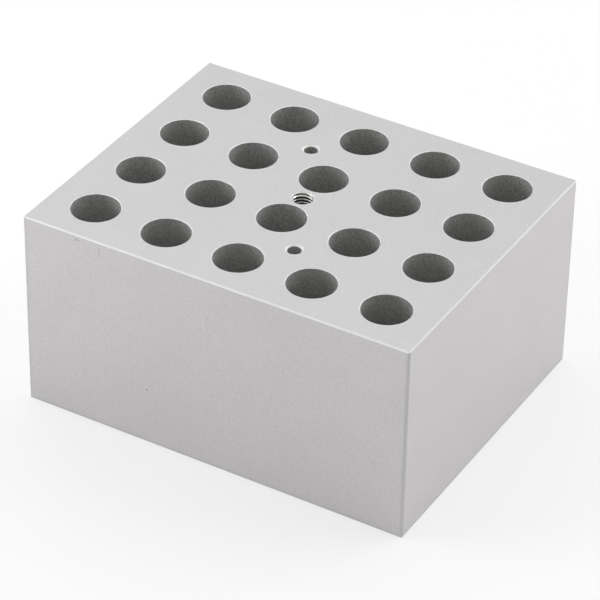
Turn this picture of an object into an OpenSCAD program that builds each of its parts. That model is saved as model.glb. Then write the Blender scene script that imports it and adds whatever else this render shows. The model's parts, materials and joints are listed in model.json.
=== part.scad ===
// Heat block insert: a solid aluminium block that sits in a dry bath heater. Its top face has a
// grid of blind wells for sample tubes, a tapped hole in the middle for a lifting tool, and two
// narrow wells for a temperature probe.
// Millimetres. The origin is the middle of the underside, +X along the block, +Z up.

/* [Block] */
// Length of the block, along the rows of wells
block_length = 95; // [91:0.5:140]
// Width of the block, across the rows
block_width = 76; // [72:0.5:120]
// Height of the block
block_height = 48.5; // [44:0.5:80]
// Leg of the bevel round the top face and round the underside
face_bevel = 0.25; // [0.1:0.05:1]
// Leg of the bevel down each upright corner
corner_bevel = 0.4; // [0.1:0.05:3]

/* [Tube wells] */
// Wells in each row, along the block
well_columns = 5; // [1:2:5]
// Rows of wells, across the block
well_rows = 4; // [2:2:4]
// Distance between the centres of neighbouring wells, both ways
well_pitch = 18; // [17.3:0.1:19.5]
// Diameter of a tube well
well_diameter = 11.1; // [6:0.1:11.5]
// Depth of a tube well's straight wall, from the top face
well_depth = 38; // [15:0.5:43]
// Leg of the bevel round the mouth of a tube well
well_bevel = 0.15; // [0.05:0.05:0.5]

/* [Lifting hole] */
// Diameter of the lifting hole, the major diameter of its thread
lift_diameter = 5; // [3:0.5:5.5]
// Depth of the lifting hole's straight wall, from the top face
lift_depth = 15; // [8:0.5:40]
// Leg of the countersink round the mouth of the lifting hole
lift_bevel = 0.1; // [0.05:0.05:0.4]

/* [Probe wells] */
// Diameter of a probe well
probe_diameter = 3.2; // [1.5:0.1:4]
// Depth of a probe well's straight wall, from the top face
probe_depth = 30; // [10:0.5:43]
// Leg of the bevel round the mouth of a probe well
probe_bevel = 0.4; // [0.1:0.05:0.6]
// How far a probe well stands in towards the middle from the centre of the four tube wells round it
probe_shift = 0.5; // [0:0.1:1.5]

/* [Drill] */
// Angle of the drill point that ends every blind hole
point_angle = 118; // [90:1:140]

/* [Hidden] */

// how far a cutting shape stands out of the face that it cuts
overshoot = 1;
round_fn = 96;
bare_aluminium = [0.79, 0.79, 0.785];
// the first well stands this far from the middle of the pattern
first_column = -(well_columns - 1) / 2 * well_pitch;
first_row = -(well_rows - 1) / 2 * well_pitch;
// a probe well lies half a pitch along and one pitch across, less its shift
probe_x = well_pitch / 2 - probe_shift;
probe_y = well_pitch;

// Rectangle about the origin with its four corners cut off at 45 degrees.
module bevelled_rectangle(length, width, leg) {
    x = length / 2;
    y = width / 2;
    polygon([
        [x, y - leg], [x - leg, y], [leg - x, y], [-x, y - leg],
        [-x, leg - y], [leg - x, -y], [x - leg, -y], [x, leg - y],
    ]);
}

// The block before it is drilled: what its plan, side and end outlines have in common.
module blank() {
    translate([0, 0, block_height / 2])
    intersection() {
        linear_extrude(block_height, center = true)
            bevelled_rectangle(block_length, block_width, corner_bevel);
        rotate([90, 0, 0])
        linear_extrude(block_width, center = true)
            bevelled_rectangle(block_length, block_height, face_bevel);
        rotate([90, 0, 90])
        linear_extrude(block_length, center = true)
            bevelled_rectangle(block_width, block_height, face_bevel);
    }
}

// What a drill and a countersink take away, with the drilled face at z = 0.
module drilled_hole(diameter, depth, bevel) {
    radius = diameter / 2;
    point = radius / tan(point_angle / 2);
    rotate_extrude($fn = round_fn)
        polygon([
            [0, -depth - point],
            [radius, -depth],
            [radius, -bevel],
            [radius + bevel + overshoot, overshoot],
            [0, overshoot],
        ]);
}

module tube_wells() {
    for (column = [0 : well_columns - 1], row = [0 : well_rows - 1])
        translate([first_column + column * well_pitch, first_row + row * well_pitch, 0])
            drilled_hole(well_diameter, well_depth, well_bevel);
}

module lifting_hole() {
    drilled_hole(lift_diameter, lift_depth, lift_bevel);
}

// Two probe wells, one each side of the middle.
module probe_wells() {
    for (side = [-1, 1])
        translate([side * probe_x, -side * probe_y, 0])
            drilled_hole(probe_diameter, probe_depth, probe_bevel);
}

module heat_block() {
    color(bare_aluminium)
    difference() {
        blank();
        translate([0, 0, block_height]) {
            tube_wells();
            lifting_hole();
            probe_wells();
        }
    }
}

heat_block();
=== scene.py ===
"""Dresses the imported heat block: its blasted aluminium, its lifting thread and a plain pale studio.

Run as a script around the fixed frame. Lengths are in metres, in the frame of the block: the origin is
the middle of its underside, +X runs along its longer rows of wells and +Z up out of them.
"""

import json
import math

import bmesh
import bpy
from mathutils import Matrix, Vector


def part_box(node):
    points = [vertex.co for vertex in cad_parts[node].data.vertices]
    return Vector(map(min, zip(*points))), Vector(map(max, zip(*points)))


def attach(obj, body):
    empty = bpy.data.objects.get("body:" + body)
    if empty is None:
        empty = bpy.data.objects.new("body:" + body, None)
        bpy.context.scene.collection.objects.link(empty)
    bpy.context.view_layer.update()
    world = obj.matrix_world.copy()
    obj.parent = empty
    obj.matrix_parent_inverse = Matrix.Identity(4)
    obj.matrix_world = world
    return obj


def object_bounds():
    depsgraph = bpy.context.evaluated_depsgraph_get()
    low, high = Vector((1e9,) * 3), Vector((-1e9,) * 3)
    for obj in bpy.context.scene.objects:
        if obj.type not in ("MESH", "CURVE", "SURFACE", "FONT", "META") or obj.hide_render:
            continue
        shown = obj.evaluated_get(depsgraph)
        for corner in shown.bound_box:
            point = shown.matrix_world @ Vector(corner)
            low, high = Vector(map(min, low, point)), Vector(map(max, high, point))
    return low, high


bl_info = {
    "name": "Heat Block Insert",
    "version": (1, 0, 0),
    "blender": (4, 5, 0),
    "location": "3D Viewport > Sidebar > Heat Block",
    "description": "Finishes a packed heat block, cuts its lifting thread and sets up its studio",
    "category": "Object",
}

BLOCK_NODE = "heat_block"
BODY = "root"
MM = 0.001
# a point this near to a face counts as on it
SKIN = 0.02 * MM
# the lip of the lifting hole ends this far below the top face, where the first root of the thread begins
LIP_DEPTH = 0.2 * MM
# how far the feet of the thread and of its lip stand inside the wall of the hole
BURIED = 0.03 * MM

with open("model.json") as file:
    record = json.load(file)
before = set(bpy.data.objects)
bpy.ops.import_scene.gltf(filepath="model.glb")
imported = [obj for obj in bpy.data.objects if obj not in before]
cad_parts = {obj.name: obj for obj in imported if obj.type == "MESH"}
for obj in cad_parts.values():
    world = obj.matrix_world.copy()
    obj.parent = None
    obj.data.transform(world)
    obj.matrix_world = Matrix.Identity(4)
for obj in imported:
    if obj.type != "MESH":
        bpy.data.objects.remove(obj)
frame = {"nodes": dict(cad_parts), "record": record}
cad_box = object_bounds()
block_low, block_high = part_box(BLOCK_NODE)
mounts = {mount["name"]: mount for mount in frame["record"]["mounts"]}


def wall_top(name):
    """Height at which a hole's straight wall ends and its countersink begins."""
    mount = mounts[name]
    return mount["pos_m"][2] + mount["dims"]["length_mm"] * MM / 2


def wall_radius(name):
    """Radius of a hole's straight wall."""
    return mounts[name]["dims"]["r_mm"] * MM


def hole_axis(name):
    """Where the axis of a hole stands, along and across the block."""
    return mounts[name]["pos_m"][:2]


def hole_mouth(name):
    """The middle of a hole's mouth, on the top face."""
    return (*hole_axis(name), block_high.z)


def bevel_floor(name):
    """How far below the top face the bevel round a hole's mouth still reaches."""
    return block_high.z - wall_top(name) + SKIN


# ---------------------------------------------------------------------------------------------
# What a user would change
# ---------------------------------------------------------------------------------------------


class BlockFinish(bpy.types.PropertyGroup):
    """The look of the blasted block."""

    top_colour: bpy.props.FloatVectorProperty(
        name="Top face",
        description="Colour of the blasted top face",
        subtype="COLOR",
        size=3,
        min=0.0,
        max=1.0,
        default=(0.63, 0.63, 0.63),
    )
    side_colour: bpy.props.FloatVectorProperty(
        name="Side faces",
        description="Colour of the blasted sides, ends and underside",
        subtype="COLOR",
        size=3,
        min=0.0,
        max=1.0,
        default=(0.637, 0.623, 0.629),
    )
    well_colour: bpy.props.FloatVectorProperty(
        name="Well walls",
        description="Colour of the metal inside the wells",
        subtype="COLOR",
        size=3,
        min=0.0,
        max=1.0,
        default=(0.648, 0.646, 0.639),
    )
    # partly bare metal, partly a painted highlight: the top edges are set brighter than the faces, the long
    # ones more than the short
    long_edge_bare_highlight_colour: bpy.props.FloatVectorProperty(
        name="Long top edges",
        description="Colour of the bare metal along the two long top edges",
        subtype="COLOR",
        size=3,
        min=0.0,
        max=1.0,
        default=(0.945, 0.945, 0.945),
    )
    short_edge_bare_highlight_colour: bpy.props.FloatVectorProperty(
        name="Short top edges",
        description="Colour of the bare metal along the two short top edges",
        subtype="COLOR",
        size=3,
        min=0.0,
        max=1.0,
        default=(0.895, 0.895, 0.895),
    )
    # bare metal with a painted highlight on the bevel round each tube well's mouth
    mouth_bare_highlight_colour: bpy.props.FloatVectorProperty(
        name="Well mouths",
        description="Colour of the bevel round the mouth of each tube well",
        subtype="COLOR",
        size=3,
        min=0.0,
        max=1.0,
        default=(0.97, 0.97, 0.96),
    )
    # bare metal with a painted highlight round the mouths of the small holes
    countersink_bare_highlight_colour: bpy.props.FloatVectorProperty(
        name="Countersinks",
        description="Colour of the bare metal round the mouths of the three small holes",
        subtype="COLOR",
        size=3,
        min=0.0,
        max=1.0,
        default=(0.92, 0.92, 0.91),
    )
    # painted shade in the roots of the thread, between its turns
    painted_root_shade_colour: bpy.props.FloatVectorProperty(
        name="Thread roots",
        description="Colour of the wall between the turns of the lifting thread",
        subtype="COLOR",
        size=3,
        min=0.0,
        max=1.0,
        default=(0.24, 0.24, 0.235),
    )
    roughness: bpy.props.FloatProperty(
        name="Roughness",
        description="Roughness of the blasted faces",
        subtype="FACTOR",
        min=0.0,
        max=1.0,
        default=0.6,
    )
    mouth_roughness: bpy.props.FloatProperty(
        name="Mouth roughness",
        description="Roughness of the bevels round the mouths of the holes",
        subtype="FACTOR",
        min=0.0,
        max=1.0,
        default=0.85,
    )
    edge_roughness: bpy.props.FloatProperty(
        name="Edge roughness",
        description="Roughness of the bare metal along the top edges",
        subtype="FACTOR",
        min=0.0,
        max=1.0,
        default=1.0,
    )
    grain_size: bpy.props.FloatProperty(
        name="Grain size",
        description="Distance between the pits that blasting leaves",
        unit="LENGTH",
        min=0.05 * MM,
        default=0.28 * MM,
    )
    grain_depth: bpy.props.FloatProperty(
        name="Grain depth",
        description="Height of the blasted grain",
        unit="LENGTH",
        min=0.0,
        default=0.012 * MM,
    )
    # the bare band with its painted highlight along a top edge; it also measures the painted shade along
    # the other edges
    edge_band: bpy.props.FloatProperty(
        name="Edge band",
        description="Width of the bare band along a top edge, and measure of the softer ones elsewhere",
        unit="LENGTH",
        min=0.0,
        default=0.26 * MM,
    )


class LiftingThread(bpy.types.PropertyGroup):
    """The lifting thread, which stands on the wall of the hole in the middle."""

    pitch: bpy.props.FloatProperty(
        name="Pitch",
        description="Distance between neighbouring turns",
        unit="LENGTH",
        min=0.1 * MM,
        default=0.8 * MM,
    )
    minor_radius: bpy.props.FloatProperty(
        name="Minor radius",
        description="Radius of the hole between the crests of the thread",
        unit="LENGTH",
        min=0.0,
        default=2.1 * MM,
    )
    length: bpy.props.FloatProperty(
        name="Threaded length",
        description="How far down from the mouth the thread runs",
        unit="LENGTH",
        min=0.1 * MM,
        default=12 * MM,
    )
    start_angle: bpy.props.FloatProperty(
        name="Start angle",
        description="Angle about the hole at which the thread begins",
        subtype="ANGLE",
        default=math.radians(217),
    )
    colour: bpy.props.FloatVectorProperty(
        name="Cut metal",
        description="Colour of the crests, as a tap leaves them",
        subtype="COLOR",
        size=3,
        min=0.0,
        max=1.0,
        default=(0.82, 0.82, 0.79),
    )


class StudioSettings(bpy.types.PropertyGroup):
    """The camera, the even light and the lamps."""

    azimuth: bpy.props.FloatProperty(
        name="Azimuth",
        description="Direction the camera stands in, turned from the long face towards the end face",
        subtype="ANGLE",
        default=math.radians(29.873),
    )
    elevation: bpy.props.FloatProperty(
        name="Elevation",
        description="How far the camera looks down",
        subtype="ANGLE",
        default=math.radians(35.056),
    )
    roll: bpy.props.FloatProperty(
        name="Roll",
        description="How far the camera is turned about its own line of sight",
        subtype="ANGLE",
        default=math.radians(1.118),
    )
    distance: bpy.props.FloatProperty(
        name="Distance",
        description="From the point aimed at to the camera",
        unit="LENGTH",
        default=719.45 * MM,
    )
    aim: bpy.props.FloatVectorProperty(
        name="Aim",
        description="Point that the camera looks at",
        subtype="TRANSLATION",
        size=3,
        default=(0.499 * MM, -1.260 * MM, 22.339 * MM),
    )
    lens: bpy.props.FloatProperty(
        name="Lens",
        description="Focal length on a 36 mm wide sensor, in millimetres",
        unit="CAMERA",
        default=194.904,
    )
    world_level: bpy.props.FloatProperty(
        name="World",
        description="Level of the even light from all round",
        min=0.0,
        default=0.4,
    )
    lamp_level: bpy.props.FloatProperty(
        name="Lamps",
        description="Level of the softboxes, against their set powers",
        min=0.0,
        default=1.0,
    )


# the point that each lamp looks at
LAMP_AIM = (0.0, 0.0, 0.03)
# each lamp's name, place, side and power in watts
LAMPS = (
    ("overhead_softbox", (0.0, 0.0, 1.2), 1.6, 3.36),
    ("end_softbox", (0.7, 0.6, 0.4), 0.9, 4.96),
    ("back_softbox", (0.2, 0.9, 0.6), 0.9, 1.61),
    ("back_left_softbox", (-0.6, 0.6, 1.0), 0.8, 2.67),
    ("left_softbox", (-0.6, -0.1, 0.7), 0.5, 0.6),
    ("low_left_fill", (-0.3, -0.2, 0.15), 0.2, 0.54),
)


# ---------------------------------------------------------------------------------------------
# Shader helpers
# ---------------------------------------------------------------------------------------------

# most of a noise lies between these two values
NOISE_RANGE = (0.3, 0.7)


def add_node(tree, kind, **settings):
    """A new node with its settings made."""
    made = tree.nodes.new(kind)
    for name, value in settings.items():
        setattr(made, name, value)
    return made


def feed(tree, socket, value):
    """Links value to socket where it is a socket, and otherwise sets it there."""
    if isinstance(value, bpy.types.NodeSocket):
        tree.links.new(value, socket)
    else:
        socket.default_value = value


def math_node(tree, operation, first, second=None, third=None, clamp=False):
    """The result of one operation on up to three numbers."""
    made = add_node(tree, "ShaderNodeMath", operation=operation, use_clamp=clamp)
    for index, value in enumerate((first, second, third)):
        if value is not None:
            feed(tree, made.inputs[index], value)
    return made.outputs[0]


def all_of(tree, *masks):
    """One where every mask is one."""
    whole = masks[0]
    for mask in masks[1:]:
        whole = math_node(tree, "MULTIPLY", whole, mask)
    return whole


def ramp(tree, value, low, high, to_low=0.0, to_high=1.0):
    """value carried smoothly from the range low..high to the range to_low..to_high."""
    made = add_node(tree, "ShaderNodeMapRange", interpolation_type="SMOOTHSTEP")
    for name, number in (
        ("Value", value),
        ("From Min", low),
        ("From Max", high),
        ("To Min", to_low),
        ("To Max", to_high),
    ):
        feed(tree, made.inputs[name], number)
    return made.outputs["Result"]


def pick(tree, mask, outside, inside):
    """The number outside where the mask is zero, and the number inside where it is one."""
    return ramp(tree, mask, 0.0, 1.0, outside, inside)


def noise(tree, vector, size, detail=2.0, roughness=0.5):
    """Noise whose blotches are about size across."""
    made = add_node(tree, "ShaderNodeTexNoise")
    feed(tree, made.inputs["Vector"], vector)
    if isinstance(size, bpy.types.NodeSocket):
        feed(tree, made.inputs["Scale"], math_node(tree, "DIVIDE", 1.0, size))
    else:
        made.inputs["Scale"].default_value = 1.0 / size
    made.inputs["Detail"].default_value = detail
    made.inputs["Roughness"].default_value = roughness
    return made.outputs["Fac"]


def opaque(colour):
    """A colour with its alpha."""
    return (*colour, 1.0)


def grey(level):
    """A grey with its alpha."""
    return (level, level, level, 1.0)


def blend_colour(tree, factor, first, second, mode="MIX"):
    """The first colour where the factor is zero, and the second laid over it where the factor is one."""
    made = add_node(tree, "ShaderNodeMix", data_type="RGBA", blend_type=mode)
    feed(tree, made.inputs["Factor"], factor)
    feed(tree, made.inputs["A"], first)
    feed(tree, made.inputs["B"], second)
    return made.outputs["Result"]


def toned(tree, colour, tone):
    """A colour made darker or lighter by a tone, which leaves it alone at one."""
    return blend_colour(tree, 1.0, colour, tone, "MULTIPLY")


def coordinates(tree, position):
    """The X, Y and Z outputs of a position."""
    split = add_node(tree, "ShaderNodeSeparateXYZ")
    tree.links.new(position, split.inputs[0])
    return split.outputs


def stretched(tree, position, by):
    """A position with each coordinate multiplied by its own number."""
    made = add_node(tree, "ShaderNodeVectorMath", operation="MULTIPLY")
    tree.links.new(position, made.inputs[0])
    made.inputs[1].default_value = by
    return made.outputs[0]


def distance_to(tree, position, point):
    """Distance of a position from a point."""
    away = add_node(tree, "ShaderNodeVectorMath", operation="DISTANCE")
    tree.links.new(position, away.inputs[0])
    feed(tree, away.inputs[1], point)
    return away.outputs["Value"]


def radius_about(tree, position, name):
    """Distance of a position from the axis of a hole."""
    return distance_to(tree, stretched(tree, position, (1.0, 1.0, 0.0)), (*hole_axis(name), 0.0))


def new_group(name, inputs, outputs):
    """An empty shader group with named sockets. Each is (name, kind, default)."""
    group = bpy.data.node_groups.new(name, "ShaderNodeTree")
    for in_out, sockets in (("INPUT", inputs), ("OUTPUT", outputs)):
        for socket_name, kind, default in sockets:
            made = group.interface.new_socket(name=socket_name, in_out=in_out, socket_type=kind)
            if default is not None:
                made.default_value = default
    return group, group.nodes.new("NodeGroupInput"), group.nodes.new("NodeGroupOutput")


def place_group(tree, group, **values):
    """A group's outputs, with each value fed to the input of its name."""
    made = add_node(tree, "ShaderNodeGroup", node_tree=group)
    for name, value in values.items():
        feed(tree, made.inputs[name.replace("_", " ").title()], value)
    return made.outputs


# ---------------------------------------------------------------------------------------------
# Shader groups
# ---------------------------------------------------------------------------------------------

FLOAT = "NodeSocketFloat"
VECTOR = "NodeSocketVector"

# how rough the noise of the pits and flecks is
GRAIN_RAGGEDNESS = 0.6
# flecks of tone are this many times as large as the pits, and their noise is drawn apart this much
FLECK_SIZE = 1.6
FLECK_GAIN = 4.0
# broad clouds of slightly darker and lighter metal
CLOUD_SIZE = 11 * MM
CLOUD_TONES = (0.992, 1.008)

# the noise of boring is drawn out round the wall, so that it makes rings
RING_STRETCH = (0.04, 0.04, 1.0)

# every hole lies further in from the block's outline than this
OUTLINE_MARGIN = 1.0 * MM
# the mouth of a small hole lies within this distance of its middle
SMALL_HOLE_REACH = 3.2 * MM
# in bands from a top edge, where its bare metal and painted highlight have faded out
BARE_HIGHLIGHT_END = 1.35
# in bands from any other edge, where the painted shade along it is full and where it ends
EDGE_SHADE_FULL = 0.5
EDGE_SHADE_END = 4.0

# small marks on the long front face: middle along x and z, half sizes, and the tone left there
HANDLING_MARKS = (
    (-16.3 * MM, 14.3 * MM, 0.26 * MM, 0.26 * MM, 0.62),
    (-22.6 * MM, 39.5 * MM, 0.22 * MM, 0.18 * MM, 0.86),
    (-6.5 * MM, 26.0 * MM, 0.2 * MM, 0.2 * MM, 0.88),
    (-16.9 * MM, 4.6 * MM, 0.2 * MM, 0.18 * MM, 0.87),
    (-28.0 * MM, 46.3 * MM, 0.24 * MM, 1.2 * MM, 0.85),
    (-33.6 * MM, 47.3 * MM, 0.65 * MM, 0.24 * MM, 0.72),
)
# in half sizes from the middle of a mark, where its tone is full and where it ends
MARK_FULL = 0.7
MARK_END = 1.15
# blotches of the noise that makes the outline of a mark ragged
MARK_BLOTCH = 0.25 * MM


def blasted_grain_group():
    """The pits of fine blasting: a height in metres, and a tone that varies a little about one."""
    group, into, out = new_group(
        "blasted_grain",
        [
            ("Position", VECTOR, None),
            ("Grain Size", FLOAT, 0.3 * MM),
            ("Grain Depth", FLOAT, 0.01 * MM),
            ("Tone Change", FLOAT, 0.02),
        ],
        [("Height", FLOAT, None), ("Tone", FLOAT, None)],
    )
    position = into.outputs["Position"]
    size = into.outputs["Grain Size"]
    pits = noise(group, position, size, roughness=GRAIN_RAGGEDNESS)
    fleck_size = math_node(group, "MULTIPLY", size, FLECK_SIZE)
    flecks = noise(group, position, fleck_size, roughness=GRAIN_RAGGEDNESS)
    clouds = noise(group, position, CLOUD_SIZE, detail=3.0)
    group.links.new(math_node(group, "MULTIPLY", pits, into.outputs["Grain Depth"]), out.inputs["Height"])
    fleck_tone = math_node(group, "MULTIPLY", math_node(group, "SUBTRACT", flecks, 0.5), FLECK_GAIN)
    fleck_tone = math_node(group, "MULTIPLY", fleck_tone, into.outputs["Tone Change"])
    cloud_tone = ramp(group, clouds, *NOISE_RANGE, *CLOUD_TONES)
    group.links.new(math_node(group, "ADD", fleck_tone, cloud_tone), out.inputs["Tone"])
    return group


def turning_marks_group():
    """The fine rings that boring leaves on the wall of an upright hole: a height in metres."""
    group, into, out = new_group(
        "turning_marks",
        [("Position", VECTOR, None), ("Spacing", FLOAT, 0.2 * MM), ("Depth", FLOAT, 0.01 * MM)],
        [("Height", FLOAT, None)],
    )
    flattened = stretched(group, into.outputs["Position"], RING_STRETCH)
    rings = noise(group, flattened, into.outputs["Spacing"], detail=1.0)
    group.links.new(math_node(group, "MULTIPLY", rings, into.outputs["Depth"]), out.inputs["Height"])
    return group


def block_regions_group():
    """Masks of the block's own places: its top face, its edges, and the walls and mouths of its holes.

    Long Sides is one nearer to a long side than to an end, so it tells the long top edges from the short.
    """
    group, into, out = new_group(
        "block_regions",
        [
            ("Position", VECTOR, None),
            ("Half Length", FLOAT, 0.05),
            ("Half Width", FLOAT, 0.04),
            ("Height", FLOAT, 0.05),
            ("Band", FLOAT, 0.3 * MM),
            ("Well Bevel", FLOAT, 0.3 * MM),
            ("Small Bevel", FLOAT, 0.4 * MM),
            ("Lifting Hole", VECTOR, None),
            ("Back Probe Well", VECTOR, None),
            ("Front Probe Well", VECTOR, None),
        ],
        [
            ("Top Face", FLOAT, None),
            ("Top Edges", FLOAT, None),
            ("Long Sides", FLOAT, None),
            ("Painted Shade Edges", FLOAT, None),
            ("Hole Walls", FLOAT, None),
            ("Well Mouths", FLOAT, None),
            ("Countersinks", FLOAT, None),
        ],
    )
    position = into.outputs["Position"]
    place = coordinates(group, position)

    def inset(axis, reach):
        """How far inside the block's side the point lies."""
        return math_node(group, "SUBTRACT", reach, math_node(group, "ABSOLUTE", place[axis]))

    def edge(first, second):
        """Distance from the edge where two faces meet."""
        return math_node(group, "MAXIMUM", first, second)

    def bands(number):
        """That many times the width of the bare band."""
        return math_node(group, "MULTIPLY", into.outputs["Band"], number)

    from_end = inset("X", into.outputs["Half Length"])
    from_side = inset("Y", into.outputs["Half Width"])
    from_top = math_node(group, "SUBTRACT", into.outputs["Height"], place["Z"])
    from_foot = place["Z"]
    from_outline = math_node(group, "MINIMUM", from_end, from_side)
    group.links.new(math_node(group, "LESS_THAN", from_top, SKIN), out.inputs["Top Face"])
    # bare metal with a painted highlight along the top edges
    bare = ramp(group, edge(from_outline, from_top), bands(BARE_HIGHLIGHT_END), into.outputs["Band"])
    group.links.new(bare, out.inputs["Top Edges"])
    group.links.new(math_node(group, "LESS_THAN", from_side, from_end), out.inputs["Long Sides"])
    # painted shade along the upright and lower edges
    from_other = math_node(group, "MINIMUM", edge(from_outline, from_foot), edge(from_end, from_side))
    group.links.new(ramp(group, from_other, bands(EDGE_SHADE_END), bands(EDGE_SHADE_FULL)), out.inputs["Painted Shade Edges"])

    below_top = math_node(group, "GREATER_THAN", from_top, SKIN)
    above_foot = math_node(group, "GREATER_THAN", from_foot, SKIN)
    inside = math_node(group, "GREATER_THAN", from_outline, OUTLINE_MARGIN)
    in_hole = all_of(group, below_top, above_foot, inside)
    group.links.new(in_hole, out.inputs["Hole Walls"])
    nearest = None
    for name in ("Lifting Hole", "Back Probe Well", "Front Probe Well"):
        distance = distance_to(group, position, into.outputs[name])
        nearest = distance if nearest is None else math_node(group, "MINIMUM", nearest, distance)
    small = math_node(group, "LESS_THAN", nearest, SMALL_HOLE_REACH)
    large = math_node(group, "SUBTRACT", 1.0, small)
    for which, depth, name in (
        (large, "Well Bevel", "Well Mouths"),
        (small, "Small Bevel", "Countersinks"),
    ):
        shallow = math_node(group, "LESS_THAN", from_top, into.outputs[depth])
        group.links.new(all_of(group, which, shallow, in_hole), out.inputs[name])
    return group


def handling_marks_group():
    """The few small marks of handling on the long front face: a tone that is one where there is none."""
    group, into, out = new_group(
        "handling_marks",
        [("Position", VECTOR, None), ("Front", FLOAT, -0.04), ("Ragged", FLOAT, 0.6)],
        [("Tone", FLOAT, None)],
    )
    position = into.outputs["Position"]
    place = coordinates(group, position)
    ragged = math_node(group, "SUBTRACT", noise(group, position, MARK_BLOTCH), 0.5)
    ragged = math_node(group, "MULTIPLY", ragged, into.outputs["Ragged"])
    tone = None
    for x, z, half_x, half_z, left in HANDLING_MARKS:
        along = math_node(group, "DIVIDE", math_node(group, "SUBTRACT", place["X"], x), half_x)
        up = math_node(group, "DIVIDE", math_node(group, "SUBTRACT", place["Z"], z), half_z)
        squares = math_node(group, "MULTIPLY_ADD", along, along, math_node(group, "MULTIPLY", up, up))
        reach = math_node(group, "ADD", math_node(group, "SQRT", squares), ragged)
        mark = ramp(group, reach, MARK_FULL, MARK_END, left, 1.0)
        tone = mark if tone is None else math_node(group, "MULTIPLY", tone, mark)
    behind = math_node(group, "SUBTRACT", place["Y"], into.outputs["Front"])
    on_front = math_node(group, "LESS_THAN", behind, SKIN)
    group.links.new(
        math_node(group, "MULTIPLY_ADD", math_node(group, "SUBTRACT", tone, 1.0), on_front, 1.0),
        out.inputs["Tone"],
    )
    return group


# ---------------------------------------------------------------------------------------------
# Materials
# ---------------------------------------------------------------------------------------------

# how much the speckle changes the tone of the sides and of the top, and what hole walls add to it
SIDE_SPECKLE = 0.08
TOP_SPECKLE = 0.043
WALL_SPECKLE = 0.2
# painted shade: what is left of the sides' tone along the upright and lower edges
PAINTED_EDGE_SHADE_TONE = 0.87
# the rings that boring leaves on the hole walls
RING_SPACING = 0.2 * MM
RING_DEPTH = 0.01 * MM
# the wall between the turns of the thread is looked for this far past its own radius
ROOT_REACH = 0.01 * MM

# painted shade: the thread darkens to this tone from a little outside its crests to a little inside its
# roots
CREST_BAND = 0.12 * MM
ROOT_BAND = 0.04 * MM
ROOT_SHADE_TONE = 0.3
# depths below the lip at which that painted shade begins and is full
LIP_SHADE_START = 0.05 * MM
LIP_SHADE_FULL = 0.2 * MM
# blotches of tone and of gloss on the cut metal, and how far each goes
CUT_TONE_SIZE = 0.4 * MM
CUT_TONES = (0.9, 1.0)
CUT_GLOSS_SIZE = 0.2 * MM
CUT_ROUGHNESS = (0.18, 0.26)
LIP_ROUGHNESS = 0.5

# the floor's grey in the light that it throws back, and its grey and glow where the camera sees it
FLOOR_GREY = 0.65
FLOOR_GREY_SEEN = 0.38
FLOOR_GLOW_SEEN = 0.6
FLOOR_GLOW_REFLECTED = 0.33
FLOOR_ROUGHNESS = 0.9


def new_material(name):
    """A material with nothing in it but a Principled shader and its output."""
    material = bpy.data.materials.new(name)
    material.use_nodes = True
    tree = material.node_tree
    tree.nodes.clear()
    output = add_node(tree, "ShaderNodeOutputMaterial")
    shader = add_node(tree, "ShaderNodeBsdfPrincipled")
    tree.links.new(shader.outputs["BSDF"], output.inputs["Surface"])
    return material, tree, shader


def object_position(tree):
    """The place of the point on its object."""
    return add_node(tree, "ShaderNodeTexCoord").outputs["Object"]


def bump(tree, height):
    """A normal from a height in metres."""
    made = add_node(tree, "ShaderNodeBump")
    made.inputs["Strength"].default_value = 1.0
    made.inputs["Distance"].default_value = 1.0
    feed(tree, made.inputs["Height"], height)
    return made.outputs["Normal"]


def painted_root_shade_mask(tree, position, hole_walls):
    """One on the wall of the lifting hole below its lip, where it shows between the turns of the thread and
    painted shade darkens it.
    """
    radius = radius_about(tree, position, "lift_thread")
    near = math_node(tree, "LESS_THAN", radius, wall_radius("lift_thread") + ROOT_REACH)
    below = math_node(tree, "LESS_THAN", coordinates(tree, position)["Z"], block_high.z - LIP_DEPTH)
    return all_of(tree, near, below, hole_walls)


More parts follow.
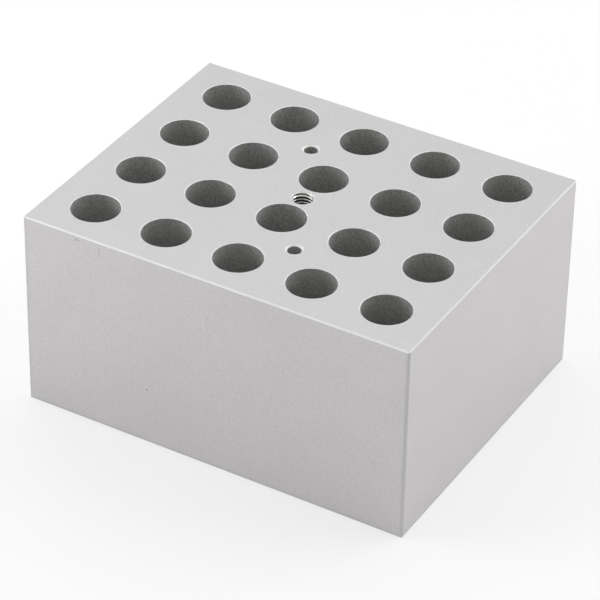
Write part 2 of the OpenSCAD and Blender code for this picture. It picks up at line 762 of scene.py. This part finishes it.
def blasted_aluminium(settings):
    """Finely blasted aluminium, with bored holes, with bare metal and a painted highlight on its top edges
    and hole mouths, and with painted shade along its other edges and between the turns of the thread.
    """
    material, tree, shader = new_material("blasted_aluminium")
    position = object_position(tree)
    regions = place_group(
        tree,
        block_regions_group(),
        position=position,
        half_length=block_high.x,
        half_width=block_high.y,
        height=block_high.z,
        band=settings.edge_band,
        well_bevel=bevel_floor("tube_well_a1"),
        small_bevel=bevel_floor("probe_well_back"),
        lifting_hole=hole_mouth("lift_thread"),
        back_probe_well=hole_mouth("probe_well_back"),
        front_probe_well=hole_mouth("probe_well_front"),
    )
    speckle = pick(tree, regions["Top Face"], SIDE_SPECKLE, TOP_SPECKLE)
    grain = place_group(
        tree,
        blasted_grain_group(),
        position=position,
        grain_size=settings.grain_size,
        grain_depth=settings.grain_depth,
        tone_change=math_node(tree, "MULTIPLY_ADD", regions["Hole Walls"], WALL_SPECKLE, speckle),
    )
    rings = place_group(
        tree, turning_marks_group(), position=position, spacing=RING_SPACING, depth=RING_DEPTH
    )
    handling = place_group(tree, handling_marks_group(), position=position, front=block_low.y)

    colour = blend_colour(
        tree, regions["Top Face"], opaque(settings.side_colour), opaque(settings.top_colour)
    )
    # painted shade along the upright and lower edges
    colour = blend_colour(tree, regions["Painted Shade Edges"], colour, toned(tree, colour, grey(PAINTED_EDGE_SHADE_TONE)))
    colour = blend_colour(tree, regions["Hole Walls"], colour, opaque(settings.well_colour))
    colour = toned(tree, colour, grain["Tone"])
    colour = toned(tree, colour, handling["Tone"])
    # the top edges: bare metal with a painted highlight, brighter along the long sides
    bare_highlight_edge = blend_colour(
        tree, regions["Long Sides"], opaque(settings.short_edge_bare_highlight_colour), opaque(settings.long_edge_bare_highlight_colour)
    )
    colour = blend_colour(tree, regions["Top Edges"], colour, bare_highlight_edge)
    # the hole mouths and countersinks: bare metal with a painted highlight
    colour = blend_colour(tree, regions["Well Mouths"], colour, opaque(settings.mouth_bare_highlight_colour))
    colour = blend_colour(tree, regions["Countersinks"], colour, opaque(settings.countersink_bare_highlight_colour))
    # painted shade on the wall between the turns of the thread
    roots = painted_root_shade_mask(tree, position, regions["Hole Walls"])
    colour = blend_colour(tree, roots, colour, opaque(settings.painted_root_shade_colour))
    tree.links.new(colour, shader.inputs["Base Color"])

    mouths = math_node(tree, "MAXIMUM", regions["Well Mouths"], regions["Countersinks"])
    roughness = pick(tree, mouths, settings.roughness, settings.mouth_roughness)
    roughness = pick(tree, regions["Top Edges"], roughness, settings.edge_roughness)
    tree.links.new(roughness, shader.inputs["Roughness"])
    ring_height = math_node(tree, "MULTIPLY", rings["Height"], regions["Hole Walls"])
    height = math_node(tree, "ADD", grain["Height"], ring_height)
    tree.links.new(bump(tree, height), shader.inputs["Normal"])
    shader.inputs["Metallic"].default_value = 1.0
    return material


def cut_thread(thread):
    """Bright aluminium as a tap leaves it, with painted shade darkening it towards the roots."""
    material, tree, shader = new_material("cut_thread")
    position = object_position(tree)
    tone = ramp(tree, noise(tree, position, CUT_TONE_SIZE), *NOISE_RANGE, *CUT_TONES)
    colour = toned(tree, opaque(thread.colour), tone)
    radius = radius_about(tree, position, "lift_thread")
    dark_full = wall_radius("lift_thread") - ROOT_BAND
    # painted shade towards the roots of the thread
    depth = ramp(tree, radius, thread.minor_radius + CREST_BAND, dark_full, 1.0, ROOT_SHADE_TONE)
    lip_floor = block_high.z - LIP_DEPTH
    height = coordinates(tree, position)["Z"]
    lip = ramp(tree, height, lip_floor - LIP_SHADE_FULL, lip_floor - LIP_SHADE_START)
    colour = toned(tree, colour, math_node(tree, "MAXIMUM", depth, lip))
    tree.links.new(colour, shader.inputs["Base Color"])
    cut = ramp(tree, noise(tree, position, CUT_GLOSS_SIZE), *NOISE_RANGE, *CUT_ROUGHNESS)
    tree.links.new(pick(tree, lip, cut, LIP_ROUGHNESS), shader.inputs["Roughness"])
    shader.inputs["Metallic"].default_value = 1.0
    return material


def pale_floor():
    """A pale floor that looks white where no shadow lies, and shows a soft, light shadow."""
    material, tree, shader = new_material("pale_floor")
    shader.inputs["Roughness"].default_value = FLOOR_ROUGHNESS
    shader.inputs["Specular IOR Level"].default_value = 0.0
    path = add_node(tree, "ShaderNodeLightPath").outputs
    seen = path["Is Camera Ray"]
    pale = blend_colour(tree, seen, grey(FLOOR_GREY), grey(FLOOR_GREY_SEEN))
    tree.links.new(pale, shader.inputs["Base Color"])
    reflected = math_node(tree, "ADD", path["Is Glossy Ray"], path["Is Transmission Ray"], clamp=True)
    reflected = math_node(tree, "MULTIPLY", reflected, FLOOR_GLOW_REFLECTED)
    glow = add_node(tree, "ShaderNodeEmission")
    strength = math_node(tree, "MULTIPLY_ADD", seen, FLOOR_GLOW_SEEN, reflected)
    tree.links.new(strength, glow.inputs["Strength"])
    both = add_node(tree, "ShaderNodeAddShader")
    tree.links.new(shader.outputs["BSDF"], both.inputs[0])
    tree.links.new(glow.outputs["Emission"], both.inputs[1])
    tree.links.new(both.outputs["Shader"], tree.get_output_node("ALL").inputs["Surface"])
    return material


# ---------------------------------------------------------------------------------------------
# Pieces
# ---------------------------------------------------------------------------------------------

# points nearer than this are one
MERGE = 0.001 * MM
# steps of each spin, in one whole turn
LIP_STEPS = 96
THREAD_STEPS = 72
# how wide a ridge of a metric thread is at its foot and at its crest, in pitches
FOOT_WIDTH = 7 / 8
CREST_WIDTH = 1 / 4


def spin_outline(mesh, points):
    """Vertices at the points, with the edges that join them in a ring: what a spin sweeps."""
    corners = [mesh.verts.new(point) for point in points]
    return corners + [mesh.edges.new(pair) for pair in zip(corners, corners[1:] + corners[:1])]


def add_piece(scene, mesh, name, hole, material):
    """Moves a closed mesh to the axis of its hole, faces it outwards and lets it ride on the body."""
    bmesh.ops.translate(mesh, verts=mesh.verts, vec=(*hole_axis(hole), 0))
    bmesh.ops.recalc_face_normals(mesh, faces=mesh.faces)
    if mesh.calc_volume(signed=True) < 0:
        bmesh.ops.reverse_faces(mesh, faces=mesh.faces)
    data = bpy.data.meshes.new(name)
    mesh.to_mesh(data)
    mesh.free()
    data.materials.append(material)
    piece = bpy.data.objects.new(name, data)
    scene.collection.objects.link(piece)
    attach(piece, BODY)


def thread_profile(pitch, major_radius, minor_radius, foot_radius):
    """Corners of one ridge of the thread, as (radius, height) beside the hole's axis, crest inwards."""
    half_foot = pitch * FOOT_WIDTH / 2
    half_crest = pitch * CREST_WIDTH / 2
    return [
        (foot_radius, half_foot),
        (major_radius, half_foot),
        (minor_radius, half_crest),
        (minor_radius, -half_crest),
        (major_radius, -half_foot),
        (foot_radius, -half_foot),
    ]


def lip_profile(mouth, lip, major_radius, foot_radius):
    """Corners of the lip, as (radius, height) beside the hole's axis, sloping in as it goes down."""
    return [
        (foot_radius, mouth),
        (major_radius, mouth),
        (major_radius - (mouth - lip), lip),
        (foot_radius, lip),
    ]


class HEATBLOCK_OT_finish_block(bpy.types.Operator):
    """Give the block its blasted aluminium"""

    bl_idname = "heatblock.finish_block"
    bl_label = "Finish Block"

    def execute(self, context):
        block = frame["nodes"][BLOCK_NODE]
        block.data.materials.clear()
        block.data.materials.append(blasted_aluminium(context.scene.heat_block_finish))
        return {"FINISHED"}


class HEATBLOCK_OT_cut_thread(bpy.types.Operator):
    """Wind the ridge of the lifting thread round the wall of its hole"""

    bl_idname = "heatblock.cut_thread"
    bl_label = "Cut Thread"

    def execute(self, context):
        thread = context.scene.heat_block_thread
        mouth = wall_top("lift_thread")
        wall = wall_radius("lift_thread")
        foot = wall + BURIED
        turns = thread.length / thread.pitch
        steps = round(turns * THREAD_STEPS)
        start_height = block_high.z
        mesh = bmesh.new()
        start = Matrix.Rotation(thread.start_angle, 3, "Z")
        profile = thread_profile(thread.pitch, wall, thread.minor_radius, foot)
        bmesh.ops.spin(
            mesh,
            geom=spin_outline(mesh, [start @ Vector((r, 0, start_height + z)) for r, z in profile]),
            cent=(0, 0, 0),
            axis=(0, 0, -1),
            dvec=(0, 0, -thread.pitch * turns / steps),
            angle=math.tau * turns,
            steps=steps,
            use_merge=False,
            use_duplicate=False,
        )
        bmesh.ops.holes_fill(mesh, edges=[edge for edge in mesh.edges if edge.is_boundary], sides=0)
        # the countersink's cone cuts the first turns away, and the last half turn runs out into the wall
        run_out_height = thread.pitch / 2
        run_out_start = start_height - thread.length + run_out_height
        for vert in mesh.verts:
            radius = math.hypot(vert.co.x, vert.co.y)
            run_out = (run_out_start - vert.co.z) / run_out_height * (foot - thread.minor_radius)
            clear = max(wall + vert.co.z - mouth, thread.minor_radius + run_out)
            new_radius = max(radius, min(clear, foot))
            vert.co.x *= new_radius / radius
            vert.co.y *= new_radius / radius
            vert.co.z = min(vert.co.z, mouth)
        bmesh.ops.remove_doubles(mesh, verts=mesh.verts, dist=MERGE)
        bmesh.ops.dissolve_degenerate(mesh, edges=mesh.edges, dist=MERGE / 2)
        add_piece(context.scene, mesh, "lift_thread_turns", "lift_thread", cut_thread(thread))
        return {"FINISHED"}


class HEATBLOCK_OT_turn_lip(bpy.types.Operator):
    """Turn the lip of bare metal between the countersink and the first turn of the thread"""

    bl_idname = "heatblock.turn_lip"
    bl_label = "Turn Lip"

    def execute(self, context):
        wall = wall_radius("lift_thread")
        profile = lip_profile(wall_top("lift_thread"), block_high.z - LIP_DEPTH, wall, wall + BURIED)
        mesh = bmesh.new()
        bmesh.ops.spin(
            mesh,
            geom=spin_outline(mesh, [(r, 0, z) for r, z in profile]),
            cent=(0, 0, 0),
            axis=(0, 0, 1),
            angle=math.tau,
            steps=LIP_STEPS,
            use_merge=True,
        )
        bmesh.ops.remove_doubles(mesh, verts=mesh.verts, dist=MERGE)
        aluminium = bpy.data.materials["blasted_aluminium"]
        add_piece(context.scene, mesh, "lift_thread_lip", "lift_thread", aluminium)
        return {"FINISHED"}


# ---------------------------------------------------------------------------------------------
# Studio
# ---------------------------------------------------------------------------------------------

# from the middle of the floor to each of its sides
FLOOR_REACH = 4.0
# the floor lies this far below the block's underside, so that the two faces don't meet
FLOOR_GAP = 0.02 * MM
# in millimetres, as the camera has it
SENSOR_WIDTH = 36.0
# nothing nearer to the camera than this is seen
CLIP_START = 0.01


def build_floor(scene):
    """One flat pale face, which isn't part of the object."""
    mesh = bmesh.new()
    bmesh.ops.create_grid(mesh, x_segments=1, y_segments=1, size=FLOOR_REACH)
    data = bpy.data.meshes.new("studio_floor")
    mesh.to_mesh(data)
    mesh.free()
    data.materials.append(pale_floor())
    floor = bpy.data.objects.new("studio_floor", data)
    scene.collection.objects.link(floor)
    floor.location.z = cad_box[0][2] - FLOOR_GAP


def build_world(scene, level):
    """Even white light from all round."""
    world = bpy.data.worlds.new("studio_world")
    scene.world = world
    world.use_nodes = True
    background = world.node_tree.nodes["Background"]
    background.inputs["Color"].default_value = grey(1.0)
    background.inputs["Strength"].default_value = level


def build_lamps(scene, level):
    """The square softboxes, each turned to the block."""
    for name, place, side, power in LAMPS:
        lamp = bpy.data.lights.new(name, "AREA")
        lamp.shape = "SQUARE"
        lamp.size = side
        lamp.energy = power * level
        made = bpy.data.objects.new(name, lamp)
        scene.collection.objects.link(made)
        made.location = place
        made.rotation_euler = (Vector(LAMP_AIM) - Vector(place)).to_track_quat("-Z", "Y").to_euler()


def build_camera(scene, studio):
    """The camera, which stands back from its aim in the direction that azimuth and elevation give."""
    camera = bpy.data.cameras.new("studio_camera")
    camera.sensor_width = SENSOR_WIDTH
    camera.lens = studio.lens
    camera.clip_start = CLIP_START
    made = bpy.data.objects.new("studio_camera", camera)
    scene.collection.objects.link(made)
    level = math.cos(studio.elevation)
    towards_camera = Vector(
        (
            math.sin(studio.azimuth) * level,
            -math.cos(studio.azimuth) * level,
            math.sin(studio.elevation),
        )
    )
    turn = towards_camera.to_track_quat("Z", "Y").to_matrix() @ Matrix.Rotation(studio.roll, 3, "Z")
    stand = Vector(studio.aim) + towards_camera * studio.distance
    made.matrix_world = Matrix.Translation(stand) @ turn.to_4x4()
    scene.camera = made


class HEATBLOCK_OT_build_studio(bpy.types.Operator):
    """Set up the floor, the light and the camera"""

    bl_idname = "heatblock.build_studio"
    bl_label = "Build Studio"

    def execute(self, context):
        scene = context.scene
        studio = scene.heat_block_studio
        build_floor(scene)
        build_world(scene, studio.world_level)
        build_lamps(scene, studio.lamp_level)
        build_camera(scene, studio)
        scene.view_settings.view_transform = "Standard"
        return {"FINISHED"}


# ---------------------------------------------------------------------------------------------
# Panel and registration
# ---------------------------------------------------------------------------------------------

# in the order in which they are run
OPERATORS = (
    HEATBLOCK_OT_finish_block,
    HEATBLOCK_OT_cut_thread,
    HEATBLOCK_OT_turn_lip,
    HEATBLOCK_OT_build_studio,
)
GROUPS = {
    "heat_block_finish": BlockFinish,
    "heat_block_thread": LiftingThread,
    "heat_block_studio": StudioSettings,
}


class HEATBLOCK_PT_panel(bpy.types.Panel):
    """Everything that dresses the heat block"""

    bl_idname = "HEATBLOCK_PT_panel"
    bl_label = "Heat Block"
    bl_space_type = "VIEW_3D"
    bl_region_type = "UI"
    bl_category = "Heat Block"

    def draw(self, context):
        for group_name, group in GROUPS.items():
            column = self.layout.column(align=True)
            for name in group.__annotations__:
                column.prop(getattr(context.scene, group_name), name)
        for operator in OPERATORS:
            self.layout.operator(operator.bl_idname)


def register():
    """Adds the settings, the operators and the panel."""
    for group in GROUPS.values():
        bpy.utils.register_class(group)
    for operator in OPERATORS:
        bpy.utils.register_class(operator)
    bpy.utils.register_class(HEATBLOCK_PT_panel)
    for name, group in GROUPS.items():
        setattr(bpy.types.Scene, name, bpy.props.PointerProperty(type=group))


def unregister():
    """Takes away what register adds."""
    for name in GROUPS:
        delattr(bpy.types.Scene, name)
    bpy.utils.unregister_class(HEATBLOCK_PT_panel)
    for operator in reversed(OPERATORS):
        bpy.utils.unregister_class(operator)
    for group in GROUPS.values():
        bpy.utils.unregister_class(group)


def main():
    """Dresses the block and sets up its studio."""
    register()
    bpy.ops.heatblock.finish_block()
    bpy.ops.heatblock.cut_thread()
    bpy.ops.heatblock.turn_lip()
    bpy.ops.heatblock.build_studio()


if __name__ == "__main__":
    main()
